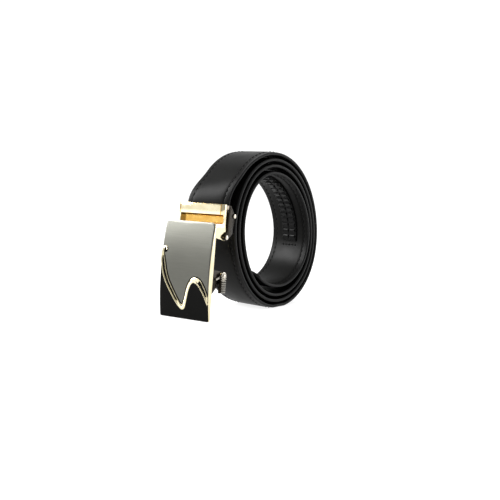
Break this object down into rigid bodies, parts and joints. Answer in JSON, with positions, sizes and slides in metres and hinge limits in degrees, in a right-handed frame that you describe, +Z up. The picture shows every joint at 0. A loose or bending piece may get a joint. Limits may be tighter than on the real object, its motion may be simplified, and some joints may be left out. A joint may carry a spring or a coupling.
{
  "type": "coiled ratchet belt with automatic buckle",
  "caption": "Leather strap wound into a standing coil, its outer end clamped in an automatic buckle with an arched two-tone face plate, keeper bar, sprung pawl and ribbed release lever.",
  "frame": {"origin": "middle of the bounding box, on the floor that the coil and the plate's foot stand on", "axes": "+Z up; the buckle faces -Y; +X across the buckle, toward the release lever's side; the coil's axis is turned 8.3 degrees from +X toward -Y"},
  "size_m": [0.055, 0.13, 0.1132],
  "materials": {
    "leather": "smooth black, low sheen",
    "track_plastic": "black moulded",
    "gold": "polished pale gold plating",
    "brushed": "fine brushed",
    "enamel": "glossy black",
    "gunmetal": "dark gunmetal plating",
    "nickel": "polished pale nickel"
  },
  "bodies": {
    "strap": {"strap": "leather", "ratchet_track": "track_plastic", "clamp": "gunmetal", "clamp_flap": "gunmetal", "flap_pin": "nickel", "hinge_pin": "nickel"},
    "buckle": {"buckle_frame": "gold", "upper_panel": "brushed", "lower_panel": "enamel", "wave_trim": "gold", "wave_inlay_left": "enamel", "wave_inlay_right": "enamel", "pawl_bracket": "gunmetal"},
    "release_lever": {"release_lever": "nickel", "ratchet_pawl": "nickel", "pawl_shaft": "nickel"}
  },
  "joints": [
    {"name": "buckle_hinge", "type": "hinge", "parent": "strap", "child": "buckle", "pos_m": [-0.00668, -0.04428, 0.05474], "axis": [1, 0, 0], "range_deg": [0, 30]},
    {"name": "lever_pivot", "type": "hinge", "parent": "buckle", "child": "release_lever", "pos_m": [-0.00668, -0.04761, 0.02894], "axis": [1, 0, 0], "range_deg": [0, 20], "stiffness_Nm_per_rad": 0.02, "springref_deg": -20.05}
  ]
}
